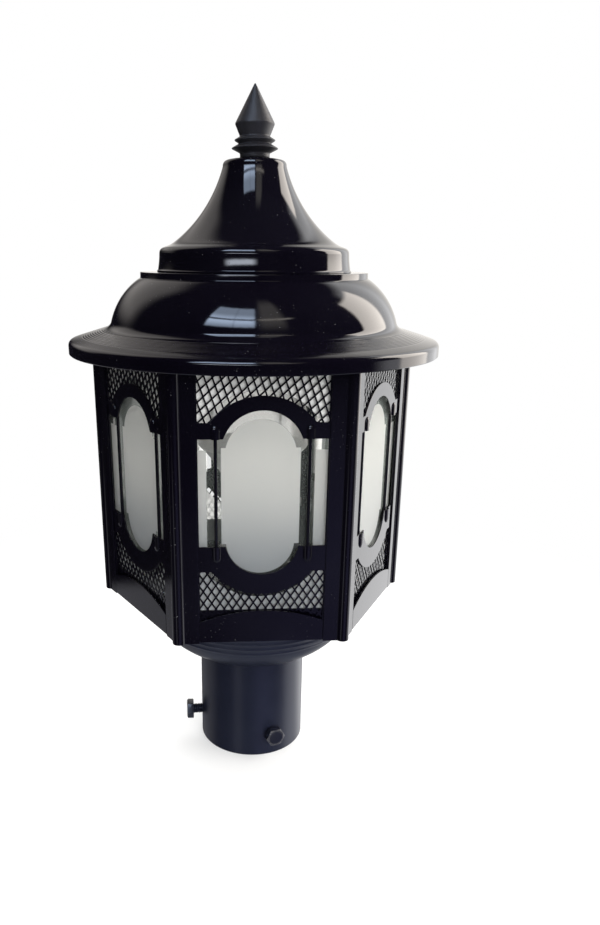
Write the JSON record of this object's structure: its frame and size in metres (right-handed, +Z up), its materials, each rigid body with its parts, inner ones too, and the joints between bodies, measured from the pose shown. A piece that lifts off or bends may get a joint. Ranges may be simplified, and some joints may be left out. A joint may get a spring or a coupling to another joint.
{
  "type": "gate light",
  "caption": "Six-sided pole-top gate light with arched glazed sides, mesh grilles, spun roof with finial, bowl and a pipe collar with clamp bolts.",
  "frame": {"origin": "centre of the collar's foot, where the light stands or the pipe goes in", "axes": "+Z up along the light's axis to the finial, -Y out of the front side, +X to its right"},
  "size_m": [0.1906, 0.1906, 0.3556],
  "materials": {
    "gloss_black": "gloss",
    "satin_grey": "satin",
    "zinc_steel": "satin",
    "clear_glass": "clear with frosted areas",
    "bakelite": "semi gloss",
    "brass": "polished",
    "bulb_cap_metal": "satin",
    "bulb_plastic": "gloss",
    "bulb_diffuser": "matte",
    "rubber": "matte"
  },
  "bodies": {
    "body": {"bars_back": "gloss_black", "bars_back_left": "gloss_black", "bars_back_right": "gloss_black", "bars_front": "gloss_black", "bars_front_left": "gloss_black", "bars_front_right": "gloss_black", "base_tray": "gloss_black", "bowl": "satin_grey", "bowl_rivets": "satin_grey", "cable_bush": "rubber", "collar": "satin_grey", "corner_post_back_left": "gloss_black", "corner_post_back_right": "gloss_black", "corner_post_front_left": "gloss_black", "corner_post_front_right": "gloss_black", "corner_post_left": "gloss_black", "corner_post_right": "gloss_black", "grille_back": "gloss_black", "grille_back_left": "gloss_black", "grille_back_right": "gloss_black", "grille_front": "gloss_black", "grille_front_left": "gloss_black", "grille_front_right": "gloss_black", "holder_base": "bakelite", "holder_clamp_ring": "bakelite", "holder_nipple": "zinc_steel", "holder_shell": "brass", "nipple_lock_nut": "zinc_steel", "pane_back": "clear_glass", "pane_back_left": "clear_glass", "pane_back_right": "clear_glass", "pane_clips": "zinc_steel", "pane_front": "clear_glass", "pane_front_left": "clear_glass", "pane_front_right": "clear_glass", "roof_stud": "zinc_steel", "roof_yoke": "zinc_steel", "side_panel_back": "gloss_black", "side_panel_back_left": "gloss_black", "side_panel_back_right": "gloss_black", "side_panel_front": "gloss_black", "side_panel_front_left": "gloss_black", "side_panel_front_right": "gloss_black", "stud_nuts": "zinc_steel", "top_ring": "zinc_steel", "yoke_nuts": "zinc_steel", "yoke_screws": "zinc_steel"},
    "roof": {"roof_brim": "gloss_black", "roof_bell": "gloss_black", "finial_washer": "rubber"},
    "finial": {"finial": "satin_grey"},
    "bulb": {"bulb_cap": "bulb_cap_metal", "bulb_housing": "bulb_plastic", "bulb_globe": "bulb_diffuser"},
    "plungers": {"contact_plungers": "brass"},
    "bolt_front": {"clamp_bolt_front": "gloss_black"},
    "bolt_back": {"clamp_bolt_back": "gloss_black"},
    "bolt_left": {"clamp_bolt_left": "gloss_black"}
  },
  "joints": [
    {"name": "roof_lift", "type": "slide", "parent": "body", "child": "roof", "axis": [0, 0, 1], "range_m": [0, 0.12]},
    {"name": "finial_turn", "type": "hinge", "parent": "roof", "child": "finial", "pos_m": [0, 0, 0.33], "axis": [0, 0, 1], "continuous": true},
    {"name": "bulb_turn", "type": "hinge", "parent": "body", "child": "bulb", "pos_m": [0, 0, 0.129], "axis": [0, 0, 1], "range_deg": [0, 22]},
    {"name": "plunger_press", "type": "slide", "parent": "body", "child": "plungers", "axis": [0, 0, 1], "range_m": [-0.0022, 0], "stiffness_N_per_m": 1500},
    {"name": "bolt_front_screw", "type": "slide", "parent": "body", "child": "bolt_front", "axis": [-0.3256, 0.9455, 0], "range_m": [-0.0025, 0.002]},
    {"name": "bolt_back_screw", "type": "slide", "parent": "body", "child": "bolt_back", "axis": [-0.5592, -0.829, 0], "range_m": [-0.0025, 0.005]},
    {"name": "bolt_left_screw", "type": "slide", "parent": "body", "child": "bolt_left", "axis": [0.9994, 0.0349, 0], "range_m": [-0.0025, 0.005]}
  ]
}
